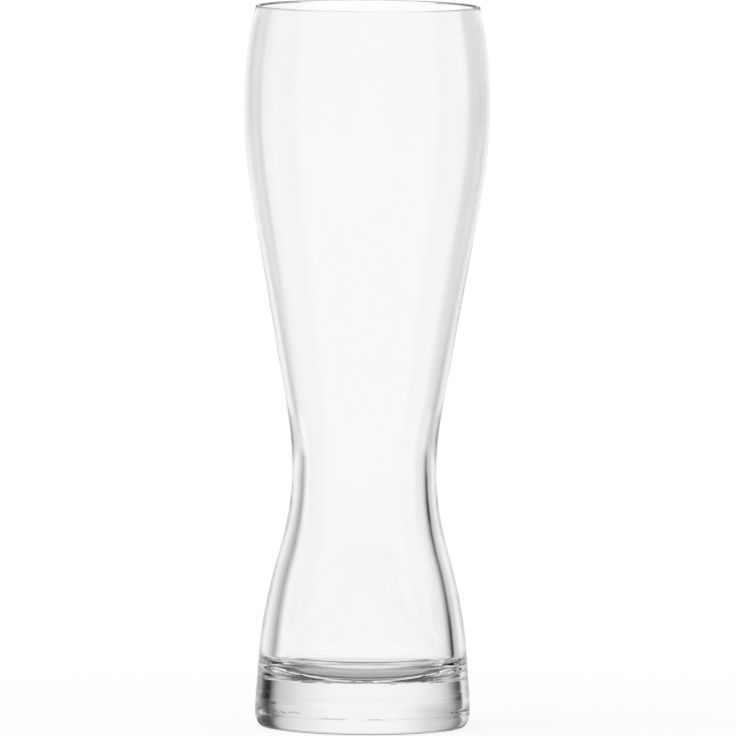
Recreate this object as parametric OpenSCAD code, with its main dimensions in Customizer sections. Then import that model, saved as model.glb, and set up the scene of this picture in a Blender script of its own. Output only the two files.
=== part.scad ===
// Tall wheat beer glass: a blown bowl joined hot to a solid pressed base.
// Both pieces are turned about Z. The origin is the centre of the ring the glass stands on.

/* [Rim and belly] */
// Height of the rim above the table; the straight cone takes up any change
height = 240; // [228:1:270]
// Outer diameter of the mouth, at the top of the rim
rim_d = 74.4; // [70:0.2:78]
// Wall at the rim
rim_wall = 1.45; // [1.1:0.05:2]
// How far the wall leans inwards at the rim, in degrees
rim_lean = 13.7; // [6:0.1:18]
// Height from the belly, the widest place, up to the rim
rim_rise = 34.3; // [28:0.1:42]
// Outer diameter of the belly
belly_d = 81.8; // [79:0.2:86]
// Wall at the belly
belly_wall = 1.45; // [1.1:0.05:2.2]

/* [Cone] */
// Height from the cone's upper end up to the belly
belly_rise = 37.5; // [30:0.1:45]
// Outer diameter at the cone's upper end
cone_top_d = 73.6; // [71:0.1:76]
// How far the cone leans outwards there, in degrees
cone_top_lean = 10.3; // [8:0.1:12]
// Wall there
cone_top_wall = 1.5; // [1.2:0.05:2.4]
// Height from the waist up to the cone's lower end
cone_foot_rise = 23.6; // [18:0.1:30]
// Outer diameter at the cone's lower end
cone_foot_d = 52.6; // [50:0.1:55]
// How far the cone leans outwards there, in degrees
cone_foot_lean = 10; // [8:0.1:12]
// Wall there
cone_foot_wall = 2.2; // [1.6:0.05:3]

/* [Waist and lower bulb] */
// Height from the turn of the bulb up to the waist, the narrowest place
waist_rise = 28.9; // [22:0.1:36]
// Outer diameter of the waist
waist_d = 47.9; // [44:0.1:50]
// Wall at the waist
waist_wall = 3.5; // [2.5:0.05:4.5]
// Height from the shoulder up to where the bulb's curve turns into the waist's
turn_rise = 32.1; // [24:0.1:38]
// Outer diameter at that turn
turn_d = 57.4; // [55:0.2:60]
// How far the wall leans inwards there, in degrees
turn_lean = 16.3; // [12:0.1:20]
// Wall there
turn_wall = 4.4; // [3.4:0.1:5.2]
// Height from the joint line up to the shoulder, where the wall ends and the rounded bottom begins
shoulder_rise = 6.8; // [5:0.1:10]
// Outer diameter of the shoulder
shoulder_d = 69.2; // [66:0.2:72]
// How far the wall leans inwards there, in degrees
shoulder_lean = 4.5; // [1:0.1:8]
// Wall at the shoulder
shoulder_wall = 5; // [4:0.1:6]

/* [Cavity floor] */
// Height of the cavity's lowest point above the table
floor_z = 15.2; // [13.5:0.1:17.5]
// Diameter of the flat in its middle
flat_d = 24; // [4:0.5:30]
// Share of its width and height for which the rounded edge of the floor keeps the direction of each end
round_share = 0.55; // [0.45:0.05:0.75]
// Thickness of the bowl's own glass under the cavity's lowest point
bowl_floor = 1.6; // [1:0.1:3]

/* [Base] */
// Outer diameter of the base, at its widest
base_d = 71.6; // [69:0.2:75]
// Width of the rounded edge under the base, measured along the table
corner_w = 2.8; // [2:0.1:5]
// Height of that edge
corner_h = 5; // [3:0.1:7]
// Width of the flat ring the glass stands on
bearing_w = 3; // [1.5:0.1:5]
// Depth of the dish in the underside
dish_h = 0.9; // [0.4:0.1:2]

/* [Joint between bowl and base] */
// Height from the base's rounded edge up to the joint line on the outside
seam_rise = 12.2; // [10:0.1:14]
// Outer diameter at the joint line
seam_d = 70.2; // [68:0.1:72]
// How far the outside leans inwards at the joint line, in degrees
seam_lean = 3.7; // [1:0.1:7]
// Depth of the crease along the joint line
crease_depth = 0.15; // [0.05:0.05:0.4]
// Height of the crease on each side of the joint line
crease_h = 0.3; // [0.1:0.05:0.6]

/* [Hidden] */
$fn = 128;

// Number of steps along one stretch of wall, along one rounded edge and round the cavity's floor
WALL_STEPS = 9;
EDGE_STEPS = 8;
FLOOR_STEPS = 14;

// Heights above the table, from the base up and from the rim down
seam_z = corner_h + seam_rise;
shoulder_z = seam_z + shoulder_rise;
turn_z = shoulder_z + turn_rise;
waist_z = turn_z + waist_rise;
cone_foot_z = waist_z + cone_foot_rise;
belly_z = height - rim_rise;
cone_top_z = belly_z - belly_rise;

// Each station of the outside: height, radius and outward lean in degrees
BASE_WIDEST = [corner_h, base_d / 2, 0];
SEAM = [seam_z, seam_d / 2, -seam_lean];
SHOULDER = [shoulder_z, shoulder_d / 2, -shoulder_lean];
TURN = [turn_z, turn_d / 2, -turn_lean];
WAIST = [waist_z, waist_d / 2, 0];
CONE_FOOT = [cone_foot_z, cone_foot_d / 2, cone_foot_lean];
CONE_TOP = [cone_top_z, cone_top_d / 2, cone_top_lean];
BELLY = [belly_z, belly_d / 2, 0];
RIM = [height, rim_d / 2, -rim_lean];

// The stations that stand round the cavity, from the bottom up, and the wall at each
VESSEL = [SHOULDER, TURN, WAIST, CONE_FOOT, CONE_TOP, BELLY, RIM];
WALLS = [shoulder_wall, turn_wall, waist_wall, cone_foot_wall, cone_top_wall, belly_wall, rim_wall];

// The same stations on the cavity side of the wall
CAVITY = [for (i = [0:len(VESSEL) - 1]) VESSEL[i] - [0, WALLS[i], 0]];

// Radius at height z on the smooth curve from station a to station b
function curve_r(a, b, z) =
    let (rise = b[0] - a[0], t = (z - a[0]) / rise)
    (2 * t ^ 3 - 3 * t ^ 2 + 1) * a[1]
    + (t ^ 3 - 2 * t ^ 2 + t) * rise * tan(a[2])
    + (3 * t ^ 2 - 2 * t ^ 3) * b[1]
    + (t ^ 3 - t ^ 2) * rise * tan(b[2]);

// Points [radius, height] on that curve from height low to height high, without the last one
function curve(a, b, low, high) =
    [for (i = [0:WALL_STEPS - 1])
        let (z = low + (high - low) * i / WALL_STEPS)
        [curve_r(a, b, z), z]];

// Points along several stations, up to height top in the last stretch
function wall_curve(stations, top) =
    let (last = len(stations) - 2)
    [for (k = [0:last])
        each curve(stations[k], stations[k + 1], stations[k][0], k < last ? stations[k + 1][0] : top)];

// Points on a rounded edge, part of an ellipse about the point middle, from one angle to another
function round_edge(middle, w, h, from, to) =
    [for (i = [0:EDGE_STEPS])
        let (angle = from + (to - from) * i / EDGE_STEPS)
        [middle[0] + w * cos(angle), middle[1] + h * sin(angle)]];

// Points from the middle outwards on a shallow dish that curves by depth up to radius r at height z
function dish(r, z, depth) =
    [for (i = [0:EDGE_STEPS])
        let (share = i / EDGE_STEPS)
        [r * share, z + depth * (1 - share ^ 2)]];

// Points on a smooth bend from point a, through the directions of its guides b and c, to point d
function bend(a, b, c, d) =
    [for (i = [0:FLOOR_STEPS])
        let (t = i / FLOOR_STEPS, u = 1 - t)
        u ^ 3 * a + 3 * u ^ 2 * t * b + 3 * u * t ^ 2 * c + t ^ 3 * d];

function reversed(points) = [for (i = [len(points) - 1:-1:0]) points[i]];

// The rim is a half round across the leaning wall
rim_round = rim_wall * cos(rim_lean) / 2;
rim_middle_z = height - rim_round;
rim_outer_z = rim_middle_z + rim_round * sin(rim_lean);
rim_inner_z = rim_middle_z - rim_round * sin(rim_lean);
rim_middle = [curve_r(BELLY, RIM, rim_outer_z) - rim_round * cos(rim_lean), rim_middle_z];
rim_outer_half = round_edge(rim_middle, rim_round, rim_round, rim_lean, 90);
rim_inner_half = round_edge(rim_middle, rim_round, rim_round, 180 + rim_lean, 90);

// The cavity's floor is flat in the middle and bends up into the leaning wall at the shoulder
floor_edge = [flat_d / 2, floor_z];
wall_foot = [CAVITY[0][1], shoulder_z];
floor_reach = round_share * (wall_foot[0] - floor_edge[0]);
wall_reach = round_share * (wall_foot[1] - floor_edge[1]);
floor_guide = floor_edge + [floor_reach, 0];
wall_guide = wall_foot + wall_reach * [tan(shoulder_lean), -1];
cavity_bottom = bend(floor_edge, floor_guide, wall_guide, wall_foot);

// The joint dips under the cavity by as much as leaves the bowl its floor
crease_r = seam_d / 2 - crease_depth;
joint = dish(crease_r, seam_z, floor_z - bowl_floor - seam_z);

// The flat ring the glass stands on lies between the underside's dish and the base's rounded edge
bearing_r = base_d / 2 - corner_w;
underside = dish(bearing_r - bearing_w, 0, dish_h);

bowl_outline = concat(
    joint,
    curve(SEAM, SHOULDER, seam_z + crease_h, shoulder_z),
    wall_curve(VESSEL, rim_outer_z),
    rim_outer_half,
    [for (i = [EDGE_STEPS - 1:-1:0]) rim_inner_half[i]],
    reversed(wall_curve(CAVITY, rim_inner_z)),
    reversed(cavity_bottom),
    [[0, floor_z]]);

base_outline = concat(
    underside,
    round_edge([bearing_r, corner_h], corner_w, corner_h, -90, 0),
    curve(BASE_WIDEST, SEAM, corner_h, seam_z - crease_h),
    [[curve_r(BASE_WIDEST, SEAM, seam_z - crease_h), seam_z - crease_h]],
    reversed(joint));

// Blown bowl: wall, rim and closed rounded bottom
module bowl() {
    color([0.93, 0.95, 0.94, 0.35])
        rotate_extrude()
            polygon(bowl_outline);
}

// Pressed base: solid glass with a rounded lower edge and a dished underside
module base() {
    color([0.9, 0.93, 0.92, 0.45])
        rotate_extrude()
            polygon(base_outline);
}

bowl();
base();
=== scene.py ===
"""Looks of the weizen glass: a clear blown bowl joined hot to a clear pressed base.

Both pieces are turned from the outlines that the CAD solids have, with smoother walls.
The outlines are in millimetres, and become vertices in metres. The materials, the table, the
lamp and the camera are in metres. Angles are written in degrees, unless a comment says radians.
"""

import math

import bpy
import numpy as np
from mathutils import Matrix, Vector


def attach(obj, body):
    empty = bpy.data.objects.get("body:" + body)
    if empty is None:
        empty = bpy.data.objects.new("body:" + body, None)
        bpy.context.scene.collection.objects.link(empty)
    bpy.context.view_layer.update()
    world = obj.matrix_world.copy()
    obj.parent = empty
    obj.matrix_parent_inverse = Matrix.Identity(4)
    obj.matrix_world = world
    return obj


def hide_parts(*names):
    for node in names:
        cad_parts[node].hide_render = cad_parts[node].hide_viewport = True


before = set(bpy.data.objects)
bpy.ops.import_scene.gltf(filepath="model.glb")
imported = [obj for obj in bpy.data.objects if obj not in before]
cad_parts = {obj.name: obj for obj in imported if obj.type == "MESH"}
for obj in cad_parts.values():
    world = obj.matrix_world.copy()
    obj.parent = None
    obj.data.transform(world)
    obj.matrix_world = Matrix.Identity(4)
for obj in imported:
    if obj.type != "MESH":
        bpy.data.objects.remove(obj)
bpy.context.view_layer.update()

MM = 0.001

# Outline

# Stations of the outside, as the part's source has them: height, radius, outward lean in degrees
BASE_WIDEST = (5.0, 35.8, 0)
SEAM = (17.2, 35.1, -3.7)
SHOULDER = (24.0, 34.6, -4.5)
TURN = (56.1, 28.7, -16.3)
WAIST = (85.0, 23.95, 0)
CONE_FOOT = (108.6, 26.3, 10)
CONE_TOP = (168.2, 36.8, 10.3)
BELLY = (205.7, 40.9, 0)
RIM = (240.0, 37.2, -13.7)
LOWER_WALL = (BASE_WIDEST, SEAM)
VESSEL = (SHOULDER, TURN, WAIST, CONE_FOOT, CONE_TOP, BELLY, RIM)
# The wall at each station round the cavity, and the same stations on the wall's inner side
WALLS = (5.0, 4.4, 3.5, 2.2, 1.5, 1.45, 1.45)
CAVITY = tuple((z, r - w, lean) for (z, r, lean), w in zip(VESSEL, WALLS))
# Where the cavity's wall meets its rounded floor: radius and height
FOOT = (CAVITY[0][1], CAVITY[0][0])

# The crease along the joint line: its depth, and its height on each side
CREASE_DEPTH = 0.15
CREASE_H = 0.3
# How unevenly it runs: up and down, and as a share of its depth
CREASE_SWAY = 0.08
CREASE_UNEVEN_SHARE = 0.6
# The mould left a low, soft ridge round the base: its height above the table, how far it stands
# out, and its height on each side
MOULD_Z = 6.4
MOULD_HIGH = 0.02
MOULD_H = 0.6
# How unevenly that runs: up and down, and as a share of how far it stands out
MOULD_SWAY = 0.35
MOULD_UNEVEN_SHARE = 0.9
# Only the outside is creased: the crease and the ridge start at this radius, and are whole this
# much further out
SKIN_R = 33.5
SKIN_W = 0.8

# The cavity's floor: its height, the radius of its flat middle, and the share of its rounded edge
# that keeps the direction of each end
FLOOR_Z = 15.2
FLAT_R = 12.0
ROUND_SHARE = 0.55
# The thickness of the bowl's own glass under it
BOWL_FLOOR = 1.6
# The base's rounded edge, the flat ring inside it that the glass stands on, with its outer radius,
# and the dish in the middle
CORNER_W = 2.8
CORNER_H = 5.0
BEARING_W = 3.0
BEARING_R = BASE_WIDEST[1] - CORNER_W
DISH_H = 0.9

# Faces round the axis, the most height between two rings of a wall, and steps up the base's wall
SEGMENTS = 256
WALL_STEP = 1.9
BASE_WALL_STEPS = 44
# Heights off the joint line at which the wall has rings close together, for the crease, and the
# height at which the other rings start
CLOSE = (0.06, 0.12, 0.2, 0.3, 0.42, 0.6, 0.85)
CLOSE_END = 1.2
# Steps on each half of the rim, on the floor's rounded edge, on the base's, and on a dish
RIM_STEPS = 8
FLOOR_STEPS = 30
CORNER_STEPS = 14
DISH_STEPS = 14
# The CAD walls turn from one curve into the next. Here that change is spread over this length, by
# a mean of this many places
EASE = 2.0
EASE_PLACES = 17
# Points closer together than this are one
SAME = 1e-6
# Edges that turn by more than this stay sharp
SHARP_ANGLE = 40


def curve_r(a, b, z):
    """Radius at height z on the curve from station a to station b."""
    rise = b[0] - a[0]
    t = (z - a[0]) / rise
    return (
        (2 * t**3 - 3 * t**2 + 1) * a[1]
        + (t**3 - 2 * t**2 + t) * rise * math.tan(math.radians(a[2]))
        + (3 * t**2 - 2 * t**3) * b[1]
        + (t**3 - t**2) * rise * math.tan(math.radians(b[2]))
    )


def wall_r(stations, z):
    """Radius at height z along several stations, straight on beyond the ends."""
    first, last = stations[0], stations[-1]
    if z <= first[0]:
        return first[1] + (z - first[0]) * math.tan(math.radians(first[2]))
    if z >= last[0]:
        return last[1] + (z - last[0]) * math.tan(math.radians(last[2]))
    for a, b in zip(stations, stations[1:]):
        if z <= b[0]:
            return curve_r(a, b, z)


def wall(stations, low, high):
    """Points (radius, height) up a wall, with the stations' changes of curve eased."""
    count = math.ceil((high - low) / WALL_STEP)
    shifts = np.linspace(-2 * EASE, 2 * EASE, EASE_PLACES)
    weights = np.exp(-((shifts / EASE) ** 2) * 2)
    weights /= weights.sum()
    points = []
    for z in np.linspace(low, high, count + 1):
        # The ends keep their place, so the easing grows from nothing there
        part = min(1.0, (z - low) / (2 * EASE), (high - z) / (2 * EASE))
        r = sum(w * wall_r(stations, z + part * s) for s, w in zip(shifts, weights))
        points.append((r, z))
    return points


def arc(middle, w, h, start, end, steps):
    """Points on part of an ellipse, with angles in degrees."""
    return [
        (middle[0] + w * math.cos(t), middle[1] + h * math.sin(t))
        for t in np.radians(np.linspace(start, end, steps + 1))
    ]


def dish(r, z, depth):
    """Points from the axis out to radius r at height z, on a dish whose middle is higher by depth."""
    return [(r * s, z + depth * (1 - s * s)) for s in np.linspace(0, 1, DISH_STEPS + 1)]


def bend(start, end, lean, share, steps):
    """Points on a smooth bend from level at start to leaning inwards by lean degrees at end."""
    start, end = np.array(start), np.array(end)
    w, h = end - start
    after = start + (share * w, 0)
    before = end + share * h * np.array((math.tan(math.radians(lean)), -1))
    t = np.linspace(0, 1, steps + 1)[:, None]
    u = 1 - t
    line = u**3 * start + 3 * u**2 * t * after + 3 * u * t**2 * before + t**3 * end
    return [tuple(p) for p in line.tolist()]


def joined(*runs):
    """One list of points, without the repeats where runs meet."""
    points = []
    for run in runs:
        for p in run:
            if not points or math.dist(points[-1], p) > SAME:
                points.append(p)
    return points


def waves(seed, counts):
    """A smooth random function of the angle round the axis, from about -1 to 1."""
    rng = np.random.RandomState(seed)
    parts = [(k, rng.uniform(0, 2 * math.pi), rng.uniform(0.5, 1)) for k in counts]
    total = math.sqrt(sum(size * size for _, _, size in parts))

    def value(a):
        return sum(size * np.sin(k * a + turn) for k, turn, size in parts) / total

    return value


# The joint dips under the cavity by as much as leaves the bowl its floor
joint = dish(SEAM[1], SEAM[0], FLOOR_Z - BOWL_FLOOR - SEAM[0])

# The rim is a half round across the leaning wall
rim_lean = math.radians(-RIM[2])
half_rim = WALLS[-1] * math.cos(rim_lean) / 2
rim_z = RIM[0] - half_rim
rim_out = rim_z + half_rim * math.sin(rim_lean)
rim_in = rim_z - half_rim * math.sin(rim_lean)
rim_middle = (curve_r(BELLY, RIM, rim_out) - half_rim * math.cos(rim_lean), rim_z)

bowl_outside = joined(
    [(wall_r(LOWER_WALL + VESSEL, SEAM[0] + s), SEAM[0] + s) for s in CLOSE],
    wall(LOWER_WALL + VESSEL, SEAM[0] + CLOSE_END, rim_out),
    arc(rim_middle, half_rim, half_rim, -RIM[2], 90, RIM_STEPS),
    arc(rim_middle, half_rim, half_rim, 90, 180 - RIM[2], RIM_STEPS),
    wall(CAVITY, FOOT[1], rim_in)[::-1],
    bend((FLAT_R, FLOOR_Z), FOOT, -SHOULDER[2], ROUND_SHARE, FLOOR_STEPS)[::-1],
    [(0, FLOOR_Z)],
)
base_wall = np.linspace(SEAM[0] - CLOSE_END, CORNER_H, BASE_WALL_STEPS + 1)
base_outside = joined(
    [(wall_r(LOWER_WALL, SEAM[0] - s), SEAM[0] - s) for s in CLOSE],
    [(wall_r(LOWER_WALL, z), z) for z in base_wall],
    arc((BEARING_R, CORNER_H), CORNER_W, CORNER_H, 0, -90, CORNER_STEPS),
    dish(BEARING_R - BEARING_W, 0, DISH_H)[::-1],
)

crease_deep = waves(3, (2, 3, 5, 9, 14, 23, 31, 47))
crease_lift = waves(4, (2, 3, 5, 8, 13))
mould_high = waves(5, (1, 2, 4, 7, 12, 19))
mould_lift = waves(6, (2, 3, 6, 11, 17))


def creased(a, r, z):
    """Presses the joint's crease into the outside and raises the mould's line, both unevenly."""
    line = SEAM[0] + CREASE_SWAY * crease_lift(a)
    deep = CREASE_DEPTH * (1 + CREASE_UNEVEN_SHARE * crease_deep(a))
    mould = MOULD_Z + MOULD_SWAY * mould_lift(a)
    high = MOULD_HIGH * (1 + MOULD_UNEVEN_SHARE * mould_high(a))
    outside = np.clip((r - SKIN_R) / SKIN_W, 0, 1)
    crease = deep * np.exp(-(((z - line) / CREASE_H) ** 2))
    ridge = high * np.exp(-(((z - mould) / MOULD_H) ** 2))
    return r + outside * (ridge - crease), z


# Bubbles along the joint

# Sides of each bubble, and rows of faces from its top to its bottom
BUBBLE_SIDES = 10
BUBBLE_ROWS = 6
# The drawn-out bubbles stand one a degree from ROW_START on, which is at the front left, each up
# to ROW_SHIFT degrees off its place
ROW_COUNT = 34
ROW_START = 232
ROW_SHIFT = 0.3
# Their distance from the axis, their height above the table, how much higher every second one is,
# and how far each is off that height
ROW_R = 34.45
ROW_Z = 17.36
ROW_RAISED = 0.2
ROW_SWAY = 0.04
# The least and most of half their length and of half their height, half their depth, and the
# most that one is tilted, in radians
ROW_LONG = (0.14, 0.3)
ROW_HIGH = (0.06, 0.12)
ROW_DEEP = 0.09
ROW_TILT = 0.5
# Every second small bubble is anywhere round the glass, and the others are between these degrees
SMALL_COUNT = 70
SMALL_FRONT = (225, 320)
# The least and most of their distance from the axis, of their height above the table and of half
# their size, and how many times as long as high they are
SMALL_R = (34.0, 34.25)
SMALL_Z = (17.3, 17.8)
SMALL_SIZE = (0.05, 0.1)
SMALL_DRAWN = 1.6


def shell(sides, rows):
    """A unit ball's points and faces, which look inwards, as the wall of a bubble does."""
    turns = np.arange(sides) * 2 * math.pi / sides
    points = [(0, 0, 1)]
    for t in np.arange(1, rows) * math.pi / rows:
        points += [(math.sin(t) * math.cos(a), math.sin(t) * math.sin(a), math.cos(t)) for a in turns]
    points.append((0, 0, -1))
    faces = []
    for k in range(sides):
        m = (k + 1) % sides
        faces.append((0, 1 + m, 1 + k))
        for i in range(rows - 2):
            at = 1 + i * sides
            faces.append((at + k, at + m, at + sides + m, at + sides + k))
        at = 1 + (rows - 2) * sides
        faces.append((at + k, at + m, len(points) - 1))
    return np.array(points), faces


def bubble_places():
    """Angle in radians, radius, height, half sizes and tilt of each bubble."""
    rng = np.random.RandomState(8)
    places = []
    for k in range(ROW_COUNT):
        a = math.radians(ROW_START + k + rng.uniform(-ROW_SHIFT, ROW_SHIFT))
        size = (rng.uniform(*ROW_LONG), rng.uniform(*ROW_HIGH), ROW_DEEP)
        z = ROW_Z + ROW_RAISED * (k % 2) + rng.uniform(-ROW_SWAY, ROW_SWAY)
        tilt = rng.uniform(-ROW_TILT, ROW_TILT)
        places.append((a, ROW_R, z, size, tilt))
    for k in range(SMALL_COUNT):
        a = rng.uniform(0, 2 * math.pi) if k % 2 else math.radians(rng.uniform(*SMALL_FRONT))
        size = rng.uniform(*SMALL_SIZE)
        r = rng.uniform(*SMALL_R)
        z = rng.uniform(*SMALL_Z)
        places.append((a, r, z, (SMALL_DRAWN * size, size, size), 0))
    return places


def bubbles():
    """Points and faces of the bubbles: drawn out and close together at the front left, rare elsewhere."""
    ball, ball_faces = shell(BUBBLE_SIDES, BUBBLE_ROWS)
    up = np.array((0, 0, 1))
    points, faces = [], []
    for a, r, z, (long, high, deep), tilt in bubble_places():
        out = np.array((math.cos(a), math.sin(a), 0))
        along = np.array((-math.sin(a), math.cos(a), 0))
        first = along * math.cos(tilt) + up * math.sin(tilt)
        second = up * math.cos(tilt) - along * math.sin(tilt)
        faces += [tuple(i + len(points) for i in f) for f in ball_faces]
        at = r * out + z * up
        points += (at + ball @ np.array((long * first, high * second, -deep * out))).tolist()
    return points, faces


# Pieces

# Place of each material in a piece's list: on the walls, on the joint, on the top of the rim, and
# on the cavity's floor and the bubbles
ON_WALL = 0
ON_JOINT = 1
ON_RIM = 2
ON_FLOOR = 3


def lathe(name, outside, upward, materials, voids=((), ())):
    """A closed turned solid, with the crease and the mould's line.

    Its outline is the joint, from the axis outwards, and then outside, back to the axis.
    upward is true if the solid stands on the joint. voids are points and faces inside it,
    which get the last material.
    """
    rings = joined(joint, outside)
    inner = np.array(rings[1:-1])
    n, count = SEGMENTS, len(inner)
    a = np.tile(np.arange(n) * 2 * math.pi / n, (count, 1))
    r, z = creased(a, np.repeat(inner[:, :1], n, 1), np.repeat(inner[:, 1:], n, 1))
    verts = np.stack([r * np.cos(a), r * np.sin(a), z], -1).reshape(-1, 3).tolist()
    start, end = len(verts), len(verts) + 1
    verts += [(0, 0, rings[0][1]), (0, 0, rings[-1][1])]
    last_on_joint = len(joint) - 2
    faces, slots = [], []
    for k in range(n):
        m = (k + 1) % n
        strip = [(start, m, k)]
        strip += [(i * n + k, i * n + m, i * n + n + m, i * n + n + k) for i in range(count - 1)]
        strip += [(count * n - n + k, count * n - n + m, end)]
        faces += strip if upward else [f[::-1] for f in strip]
        slots += [ON_JOINT if i <= last_on_joint else ON_WALL for i in range(len(strip))]
    faces += [tuple(i + len(verts) for i in f) for f in voids[1]]
    slots += [len(materials) - 1] * len(voids[1])
    verts += [tuple(v) for v in voids[0]]
    mesh = bpy.data.meshes.new(name)
    mesh.from_pydata((np.array(verts) * MM).tolist(), [], faces)
    mesh.polygons.foreach_set("material_index", slots)
    mesh.polygons.foreach_set("use_smooth", [True] * len(faces))
    for m in materials:
        mesh.materials.append(m)
    mesh.update()
    mesh.set_sharp_from_angle(angle=math.radians(SHARP_ANGLE))
    obj = bpy.data.objects.new(name, mesh)
    bpy.context.scene.collection.objects.link(obj)
    return obj


def mark_floor_and_rim(piece):
    """Gives the cavity's floor and the top half of the rim their own materials."""
    for face in piece.data.polygons:
        inside = face.center.z < FOOT[1] * MM and face.center.xy.length < FOOT[0] * MM
        if inside and face.material_index == ON_WALL:
            face.material_index = ON_FLOOR
        if face.center.z > rim_z * MM:
            face.material_index = ON_RIM


# Materials

GLASS_IOR = 1.51
# The polish: how fine its patches are, as noise per metre, and the most roughness in them
POLISH_FINE = 90.0
POLISH_ROUGH = 0.012
# Painted shade along the glass's outline: the share of its colour that is darkened, by how far the
# surface faces away, and the part of it that counts by height, less higher up and none at the rim
PAINTED_EDGE_SHADE = ((0.68, 0), (0.76, 0.3), (0.84, 0.6), (1, 0.85))
PAINTED_EDGE_SHADE_PART = ((0.06, 0.9), (0.17, 0.6), (0.234, 0.6), (0.238, 0))
PAINTED_EDGE_SHADE_TOP = 0.25
# Where the mould's marks are: the streaks and the nicks by height, and the nicks from left to
# right, with the ends of those ramps
STREAK_PART = ((0.0012, 0), (0.003, 1), (0.0075, 1), (0.009, 0))
NICK_PART = ((0.0055, 0), (0.0064, 1), (0.0066, 1), (0.0075, 0))
NICK_SIDE = ((-0.0305, 0), (-0.028, 1), (-0.022, 1), (-0.02, 0))
MARK_TOP = 0.02
MARK_REACH = 0.04
# How fine they are, as noise per metre: the streaks along x, y and z, and the nicks sideways,
# along their slant and upwards
STREAK_FINE = (55, 55, 800)
NICK_FINE = 1100
NICK_SLANT = 800
NICK_TALL = 300
# Their height, as shares of the height that a material gives its marks
STREAK_SHARE = 0.35
NICK_SHARE = 5


def shader_nodes(owner):
    """Empties the owner's node tree and returns a function that adds a node with some inputs set.

    An input goes by its name, with _ for a space, or by _ and its number.
    """
    owner.use_nodes = True
    tree = owner.node_tree
    tree.nodes.clear()

    def add(kind, props=None, **inputs):
        node = tree.nodes.new(kind)
        for key, value in (props or {}).items():
            setattr(node, key, value)
        for key, value in inputs.items():
            socket = node.inputs[int(key[1:]) if key[0] == "_" else key.replace("_", " ")]
            if isinstance(value, bpy.types.NodeSocket):
                tree.links.new(value, socket)
            else:
                socket.default_value = value
        return node

    return add


def sums(add):
    """A function for arithmetic on sockets: calc("ADD", a, b)."""

    def calc(operation, *values):
        inputs = {f"_{i}": v for i, v in enumerate(values)}
        return add("ShaderNodeMath", {"operation": operation}, **inputs).outputs[0]

    return calc


def ramp(add, value, low, high, stops):
    """A ramp of greys over value from low to high, with stops (value, grey)."""
    span = add("ShaderNodeMapRange", Value=value, From_Min=float(low), From_Max=float(high))
    node = add("ShaderNodeValToRGB", Fac=span.outputs[0])
    points = node.color_ramp.elements
    while len(points) > 1:
        points.remove(points[-1])
    for i, (at, grey) in enumerate(stops):
        point = points[0] if i == 0 else points.new((at - low) / (high - low))
        point.position = (at - low) / (high - low)
        point.color = (grey, grey, grey, 1)
    return node.outputs[0]


def mould_marks(add, calc, place, up):
    """Relief the mould left low on the base: long streaks, and a row of short slanted nicks."""
    stretched = add("ShaderNodeVectorMath", {"operation": "MULTIPLY"}, _0=place, _1=STREAK_FINE)
    streak = add("ShaderNodeTexNoise", Vector=stretched.outputs[0], Scale=1.0, Detail=2.0)
    streaks = calc("MULTIPLY", ramp(add, up, 0, MARK_TOP, STREAK_PART), streak.outputs["Fac"])
    side = add("ShaderNodeSeparateXYZ", Vector=place).outputs[0]
    slanted = calc("ADD", calc("MULTIPLY", side, NICK_FINE), calc("MULTIPLY", up, NICK_SLANT))
    short = add("ShaderNodeCombineXYZ", X=slanted, Z=calc("MULTIPLY", up, NICK_TALL))
    nick = add("ShaderNodeTexNoise", Vector=short.outputs[0], Scale=1.0, Detail=1.0)
    row = ramp(add, up, 0, MARK_TOP, NICK_PART)
    here = calc("MULTIPLY", row, ramp(add, side, -MARK_REACH, MARK_REACH, NICK_SIDE))
    # Taken about their mean, so that the row as a whole raises no ledge
    nicks = calc("MULTIPLY", here, calc("SUBTRACT", nick.outputs["Fac"], 0.5))
    return calc("ADD", calc("MULTIPLY", streaks, STREAK_SHARE), calc("MULTIPLY", nicks, NICK_SHARE))


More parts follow.
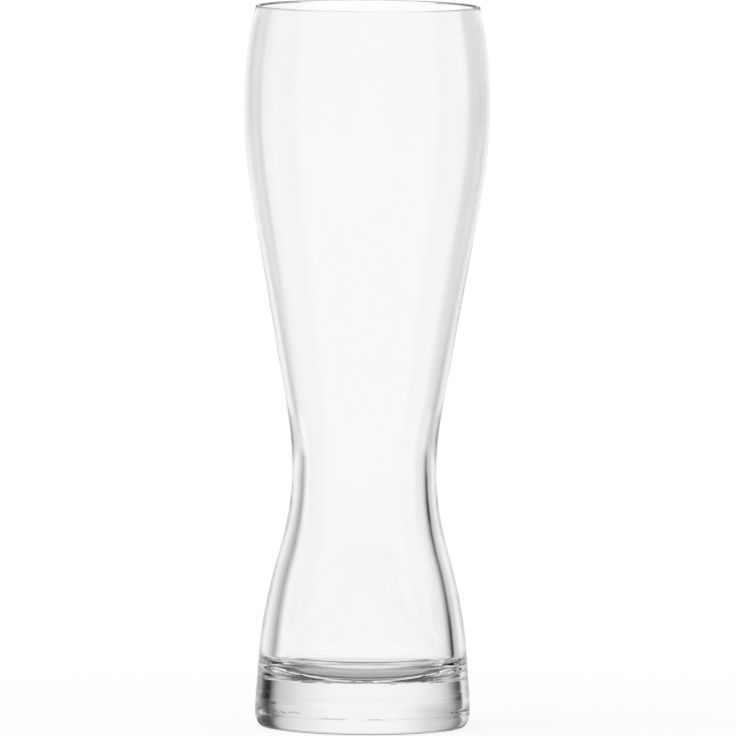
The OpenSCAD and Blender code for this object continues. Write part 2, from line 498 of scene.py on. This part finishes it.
def clear_glass(name, tint, wave_size, wave_height, contour=True, marks=0.0, share=1.0):
    """Clear soda-lime glass, with the faint waves and the slightly uneven polish of hot-worked glass.

    With its edge shade on, the glass's colour is darkened where the surface faces away from the
    ray: a painted shade along its outline. marks is the height of the mould's marks, in metres.
    Under a share of 1 the rest of the surface is left clear, for a fainter outline.
    """
    mat = bpy.data.materials.new(name)
    add = shader_nodes(mat)
    calc = sums(add)
    place = add("ShaderNodeTexCoord").outputs["Object"]
    up = add("ShaderNodeSeparateXYZ", Vector=place).outputs[2]
    polish = add("ShaderNodeTexNoise", Vector=place, Scale=POLISH_FINE, Detail=3.0).outputs["Fac"]
    rough = add("ShaderNodeMapRange", Value=polish, To_Min=0.0, To_Max=POLISH_ROUGH).outputs[0]
    wave = add("ShaderNodeTexNoise", Vector=place, Scale=1 / wave_size, Detail=1.0).outputs["Fac"]
    relief = calc("MULTIPLY", wave, wave_height)
    if marks:
        relief = calc("ADD", relief, calc("MULTIPLY", mould_marks(add, calc, place, up), marks))
    bump = add("ShaderNodeBump", Strength=1.0, Distance=1.0, Height=relief)
    glass = add("ShaderNodeBsdfPrincipled", Roughness=rough, Normal=bump.outputs[0])
    glass.inputs["Base Color"].default_value = (*tint, 1)
    glass.inputs["IOR"].default_value = GLASS_IOR
    glass.inputs["Transmission Weight"].default_value = 1.0
    # Painted shade: the colour darkens where the surface faces away, for a dark outline
    if contour:
        facing = add("ShaderNodeLayerWeight", Blend=0.5).outputs["Facing"]
        part = ramp(add, up, 0, PAINTED_EDGE_SHADE_TOP, PAINTED_EDGE_SHADE_PART)
        left = calc("SUBTRACT", 1.0, calc("MULTIPLY", ramp(add, facing, 0, 1, PAINTED_EDGE_SHADE), part))
        color = add("ShaderNodeVectorMath", {"operation": "SCALE"}, _0=tint, Scale=left)
        mat.node_tree.links.new(color.outputs[0], glass.inputs["Base Color"])
    surface = glass
    if share < 1:
        clear = add("ShaderNodeBsdfTransparent")
        surface = add("ShaderNodeMixShader", Fac=share, _1=clear.outputs[0], _2=glass.outputs[0])
    add("ShaderNodeOutputMaterial", Surface=surface.outputs[0])
    return mat


def blown_glass(name, **look):
    """The clear glass of the bowl."""
    return clear_glass(name, tint=(0.99, 0.995, 0.99), wave_size=0.03, wave_height=0.00001, **look)


def pressed_glass(name):
    """The glass of the base: a little greyer, with shorter and higher waves and the mould's marks."""
    tint = (0.92, 0.93, 0.92)
    return clear_glass(name, tint, wave_size=0.02, wave_height=0.00002, marks=0.00002)


def fused_face(name):
    """The joint inside the glass: one melt on both sides, so light goes straight through."""
    mat = bpy.data.materials.new(name)
    add = shader_nodes(mat)
    add("ShaderNodeOutputMaterial", Surface=add("ShaderNodeBsdfTransparent").outputs[0])
    return mat


bowl_glass = blown_glass("bowl_glass")
floor_glass = blown_glass("bowl_floor_glass", contour=False)
rim_glass = blown_glass("bowl_rim_glass", contour=False, share=0.4)
base_glass = pressed_glass("base_glass")
fused = fused_face("fused_joint")

# The materials are in the order of ON_WALL, ON_JOINT, ON_RIM and ON_FLOOR
bowl = lathe("bowl_glass", bowl_outside, True, (bowl_glass, fused, rim_glass, floor_glass), bubbles())
mark_floor_and_rim(bowl)
base = lathe("base_glass", base_outside, False, (base_glass, fused))
for piece, node in ((bowl, "bowl"), (base, "base")):
    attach(piece, "root")
    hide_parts(node)

# Studio

# Greys of the studio behind and beside the glass, by degrees from straight behind it, right
# positive: well below the horizon, a little higher, close below the horizon, and above it
LOWER = (
    (-100, 0.62), (-88, 0.76), (-76, 0.95), (-45, 0.95), (-33, 0.97), (-14, 1), (14, 1), (21, 0.92),
    (27, 0.82), (33, 0.75), (45, 0.74), (54, 0.6), (63, 0.45), (76, 0.42), (88, 0.5), (100, 0.48),
)
LOW = (
    (-100, 0.56), (-88, 0.76), (-76, 0.98), (-63, 1), (-60.5, 0.5), (-58, 0.1), (-53, 0.14),
    (-49, 0.32), (-46, 0.45), (-43, 0.58), (-40, 0.69), (-36, 0.8), (-29, 0.9), (-20, 0.98),
    (-10, 1), (10, 1), (20, 0.92), (27, 0.83), (33, 0.71), (39, 0.62), (42.4, 0.54), (45.4, 0.36),
    (48.6, 0.12), (51, 0.02), (54, 0), (61, 0), (64, 0.08), (70, 0.3), (80, 0.38), (100, 0.4),
)
LEVEL = (
    (-100, 0.56), (-88, 0.76), (-76, 0.93), (-62, 0.92), (-59, 0.25), (-56, 0.14), (-53, 0.16),
    (-49, 0.3), (-44, 0.49), (-39, 0.62), (-33, 0.75), (-27, 0.82), (-21, 0.92), (-14, 1),
    (14, 1), (21, 0.92), (27, 0.8), (33, 0.7), (39, 0.6), (41.5, 0.45), (43.5, 0.12), (45, 0.03),
    (47, 0), (61, 0), (66, 0.1), (73, 0.32), (88, 0.38), (100, 0.4),
)
HIGHER = (
    (-100, 0.45), (-88, 0.62), (-76, 0.86), (-62, 0.86), (-59, 0.3), (-56, 0.18), (-53, 0.2),
    (-49, 0.34), (-44, 0.5), (-39, 0.6), (-33, 0.7), (-27, 0.76), (-20, 0.92), (-12, 1),
    (12, 1), (21, 0.9), (30, 0.82), (37, 0.7), (41, 0.55), (45, 0.22), (48, 0.04), (53, 0.02),
    (61, 0.03), (66, 0.15), (76, 0.4), (100, 0.3),
)
# The grey under them all, and the heights in degrees between which each of them takes over from
# what is below it
UNDERFOOT = 0.95
BANDS = (((-40, -33), LOWER), ((-20, -15), LOW), ((-6.5, -4.5), LEVEL), ((-2, -1), HIGHER))
# Greys over them and greys in front of the glass, both by height in degrees above the horizon,
# with the heights and the degrees from straight behind between which they take over
OVERHEAD = ((20, 0.3), (28, 0.15), (40, 0.06), (55, 0.03), (70, 0.03), (80, 0.3), (90, 0.5))
OVERHEAD_FROM = (18, 26)
FRONT = ((-60, 0.5), (-26, 0.62), (-12, 0.6), (-5, 0.54), (5, 0.48), (25, 0.49), (60, 0.52))
FRONT_FROM = (98, 116)
# The front as it is seen through the glass, the light on what scatters it, and the backdrop that
# the camera sees
FRONT_THROUGH = 0.75
SOFT_LIGHT = 0.8
BACKDROP = 1.0


def studio():
    """A world whose grey depends on the direction, fitted to what the photo's glass shows of it."""
    world = bpy.data.worlds.new("studio")
    add = shader_nodes(world)
    calc = sums(add)
    path = add("ShaderNodeLightPath").outputs
    way = add("ShaderNodeSeparateXYZ", Vector=add("ShaderNodeTexCoord").outputs["Generated"]).outputs
    angle = calc("MULTIPLY", calc("ARCTAN2", way[0], way[1]), 180 / math.pi)
    height = calc("MULTIPLY", calc("ARCSINE", way[2]), 180 / math.pi)

    def mixed(share, a, b):
        """a where share is 0 and b where it is 1."""
        return calc("ADD", calc("MULTIPLY", calc("SUBTRACT", 1.0, share), a), calc("MULTIPLY", share, b))

    def above(low, high):
        """0 below height low and 1 above height high."""
        return ramp(add, height, -90, 90, ((low, 0), (high, 1)))

    back = UNDERFOOT
    for heights, stops in BANDS:
        back = mixed(above(*heights), back, ramp(add, angle, -180, 180, stops))
    back = mixed(above(*OVERHEAD_FROM), back, ramp(add, height, 0, 90, OVERHEAD))
    # Seen through the glass, the studio in front of it is nearly as pale as behind it
    front = mixed(path["Is Transmission Ray"], ramp(add, height, -90, 90, FRONT), FRONT_THROUGH)
    turned = calc("ABSOLUTE", angle)
    in_front = ramp(add, turned, 0, 180, ((FRONT_FROM[0], 0), (FRONT_FROM[1], 1)))
    seen = mixed(in_front, back, front)
    level = mixed(path["Is Camera Ray"], mixed(path["Is Diffuse Ray"], seen, SOFT_LIGHT), BACKDROP)
    sky = add("ShaderNodeBackground", Strength=level)
    sky.inputs["Color"].default_value = (1, 1, 1, 1)
    add("ShaderNodeOutputWorld", Surface=sky.outputs[0])
    return world


# Half the table's width, and how far it lies below the glass, so that no faces coincide
TABLE_REACH = 20
TABLE_DROP = 0.0001
# To the camera the table is glowing paper near the glass and plain white further off: the grey of
# the paper, the strengths of the two, and the part that is paper, by distance from the axis
PAPER_GREY = 0.15
PAPER_GLOW = 0.85
PLAIN_GLOW = 1.0
PAPER_PART = ((0.12, 1), (0.3, 0))
# In and through the glass it shows only near the axis, by distance from it, and only to rays that
# don't skim it, by how far it faces away from them
SHOWN_NEAR = ((0.045, 1), (0.06, 0))
SHOWN_REACH = 0.2
SHOWN_STEEP = ((0.81, 1), (0.87, 0))
# In the glass the table glows with painted shade, under the base palest behind the middle. Its tone
# goes by a distance that counts no depth beyond TONE_Y and is less by TONE_SHARE of the depth
TONE = ((0.012, 0.9), (0.018, 0.75), (0.022, 0.43), (0.035, 0.43), (0.045, 0.6), (0.055, 0.8))
TONE_Y = 0.012
TONE_SHARE = 0.6
TONE_REACH = 0.1
# To rays of middling slope it is painted dimmer, by the same distance
DIM = ((0.018, 1), (0.022, 0.3), (0.045, 0.3), (0.055, 1))
DIM_SLOPES = ((0.3, 0), (0.4, 1), (0.72, 1), (0.8, 0))
# Painted shadow of the base: the table is darker close behind it, by depth, and on its left
BEHIND_SHADE = ((0.036, 1), (0.0385, 0.2), (0.043, 0.2), (0.0455, 1))
LEFT_SHADE = ((-0.036, 0.1), (-0.028, 1))


def painted_table_tone(add, calc, x, y, facing):
    """Painted light and shade of the table in the glass, by place and by how far it faces away."""
    behind = calc("MINIMUM", calc("SUBTRACT", y, TONE_Y), 0.0)
    off = calc("SQRT", calc("ADD", calc("MULTIPLY", x, x), calc("MULTIPLY", behind, behind)))
    off = calc("SUBTRACT", off, calc("MULTIPLY", calc("MAXIMUM", y, 0.0), TONE_SHARE))
    dimmer = calc("SUBTRACT", 1.0, ramp(add, off, 0, TONE_REACH, DIM))
    dimmed = calc("MULTIPLY", ramp(add, facing, 0, 1, DIM_SLOPES), dimmer)
    tone = calc("MULTIPLY", ramp(add, off, 0, TONE_REACH, TONE), calc("SUBTRACT", 1.0, dimmed))
    tone = calc("MULTIPLY", tone, ramp(add, y, 0, TONE_REACH, BEHIND_SHADE))
    return calc("MULTIPLY", tone, ramp(add, x, -TONE_REACH, TONE_REACH, LEFT_SHADE))


def table_surface():
    """The pale table. Rays from the glass that skim it see the studio, as on a glossy sheet."""
    mat = bpy.data.materials.new("table")
    add = shader_nodes(mat)
    calc = sums(add)
    path = add("ShaderNodeLightPath").outputs
    spot = add("ShaderNodeSeparateXYZ", Vector=add("ShaderNodeTexCoord").outputs["Object"]).outputs
    x, y = spot[0], spot[1]
    far = calc("SQRT", calc("ADD", calc("MULTIPLY", x, x), calc("MULTIPLY", y, y)))
    facing = add("ShaderNodeLayerWeight", Blend=0.5).outputs["Facing"]
    paper = add("ShaderNodeBsdfDiffuse")
    paper.inputs["Color"].default_value = (PAPER_GREY, PAPER_GREY, PAPER_GREY, 1)
    glow = add("ShaderNodeEmission", Strength=PAPER_GLOW)
    lit = add("ShaderNodeAddShader", _0=paper.outputs[0], _1=glow.outputs[0])
    plain = add("ShaderNodeEmission", Strength=PLAIN_GLOW)
    near = ramp(add, far, 0, 1, PAPER_PART)
    to_eye = add("ShaderNodeMixShader", _0=near, _1=plain.outputs[0], _2=lit.outputs[0])
    # To the glass the table is a glow, with painted shade near the base
    bright = add("ShaderNodeEmission", Strength=painted_table_tone(add, calc, x, y, facing))
    through = add("ShaderNodeBsdfTransparent")
    steep = ramp(add, facing, 0, 1, SHOWN_STEEP)
    shown = calc("MULTIPLY", steep, ramp(add, far, 0, SHOWN_REACH, SHOWN_NEAR))
    to_glass = add("ShaderNodeMixShader", _0=shown, _1=through.outputs[0], _2=bright.outputs[0])
    seen = path["Is Camera Ray"]
    both = add("ShaderNodeMixShader", _0=seen, _1=to_glass.outputs[0], _2=to_eye.outputs[0])
    add("ShaderNodeOutputMaterial", Surface=both.outputs[0])
    return mat


def table_top():
    """The table, as one wide face under the glass."""
    w = TABLE_REACH
    mesh = bpy.data.meshes.new("table")
    mesh.from_pydata([(-w, -w, 0), (w, -w, 0), (w, w, 0), (-w, w, 0)], [], [(0, 1, 2, 3)])
    mesh.materials.append(table_surface())
    obj = bpy.data.objects.new("table", mesh)
    obj.location.z = -TABLE_DROP
    return obj


# A wide soft lamp above the left: its width and depth, its power in watts, its place and its aim
SOFTBOX_SIZE = (1.2, 0.9)
SOFTBOX_POWER = 6.0
SOFTBOX_PLACE = (-0.9, -0.3, 1.5)
SOFTBOX_AIM = (0, 0, 0.1)


def softbox():
    """The lamp, which lights the paper and isn't seen, neither by itself nor in the glass."""
    lamp = bpy.data.lights.new("softbox", "AREA")
    lamp.shape = "RECTANGLE"
    lamp.size, lamp.size_y = SOFTBOX_SIZE
    lamp.energy = SOFTBOX_POWER
    obj = bpy.data.objects.new("softbox", lamp)
    obj.location = SOFTBOX_PLACE
    aim = Vector(SOFTBOX_AIM) - obj.location
    obj.rotation_euler = aim.to_track_quat("-Z", "Y").to_euler()
    obj.visible_glossy = False
    obj.visible_transmission = False
    obj.visible_camera = False
    return obj


# The photo was taken from far off and a little above the rim, with the glass leaning right by
# half a degree: the camera's distance and height, what it aims at, the width of the view there,
# and its roll
CAMERA_FAR = 6.1
CAMERA_UP = 0.565
CAMERA_AIM = (0.00095, 0, 0.1194)
VIEW_WIDE = 0.2446
CAMERA_ROLL = 0.46
# The width of its sensor, and the least and most distance that it sees
SENSOR_MM = 36
CLIP = (0.1, 100)


def camera():
    """The camera, placed and turned as for the photo."""
    cam = bpy.data.cameras.new("camera")
    obj = bpy.data.objects.new("camera", cam)
    obj.location = (CAMERA_AIM[0], -CAMERA_FAR, CAMERA_UP)
    look = Vector(CAMERA_AIM) - obj.location
    cam.sensor_width = SENSOR_MM
    cam.lens = SENSOR_MM * look.length / VIEW_WIDE
    cam.clip_start, cam.clip_end = CLIP
    roll = Matrix.Rotation(math.radians(CAMERA_ROLL), 3, "Z").to_quaternion()
    obj.rotation_mode = "QUATERNION"
    obj.rotation_quaternion = look.to_track_quat("-Z", "Y") @ roll
    return obj


scene = bpy.context.scene
scene.world = studio()
table = table_top()
eye = camera()
for thing in (table, softbox(), eye):
    scene.collection.objects.link(thing)
scene.camera = eye
scene.view_settings.view_transform = "Standard"

# A ray crosses many faces on its way through the glass
BOUNCES = 32
scene.cycles.max_bounces = BOUNCES
scene.cycles.transmission_bounces = BOUNCES
scene.cycles.glossy_bounces = BOUNCES
scene.cycles.transparent_max_bounces = BOUNCES
